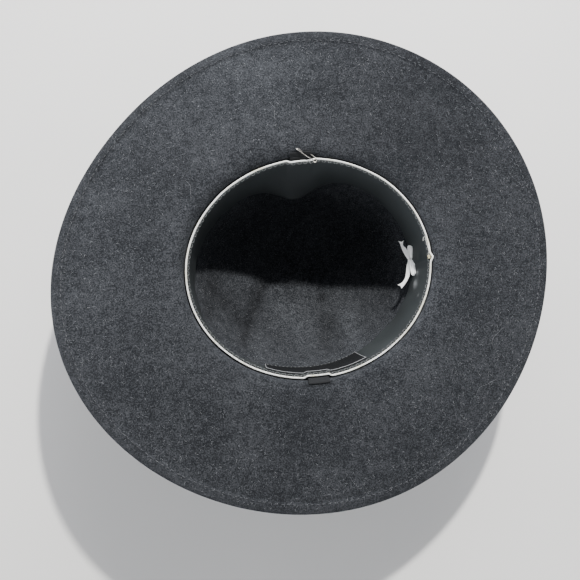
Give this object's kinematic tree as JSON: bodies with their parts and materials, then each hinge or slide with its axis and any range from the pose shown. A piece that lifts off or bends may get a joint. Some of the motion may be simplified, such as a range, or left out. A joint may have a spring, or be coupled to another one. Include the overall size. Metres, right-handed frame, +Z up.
{
  "type": "felt hat",
  "caption": "Wide-brimmed black felt hat with a round crown, lying upside down, with its sweatband, reed, side loops for a chin cord and a small bow.",
  "frame": {"origin": "on the surface that the hat lies on, under the flattened top of its crown and the middle of its opening", "axes": "+Z up, out of the opening for the head; +X towards the back of the hat; +Y towards the wearer's left. The hat lies upside down, as in the picture."},
  "size_m": [0.3926, 0.3807, 0.1227],
  "materials": {
    "felt": "black wool felt with a short nap",
    "sweatband": "smooth dark grey imitation leather, satin",
    "reed": "pale translucent plastic cord",
    "loop_ribbon": "black ribbed ribbon",
    "patch": "plain black woven patch",
    "bow_ribbon": "white satin",
    "pin_wire": "nickel-plated wire"
  },
  "bodies": {
    "root": {"felt_body": "felt", "sweatband": "sweatband", "reed": "reed", "chin_loop_left": "loop_ribbon", "chin_loop_right": "loop_ribbon", "label_patch": "patch", "back_bow": "bow_ribbon", "safety_pin": "pin_wire"}
  },
  "joints": []
}
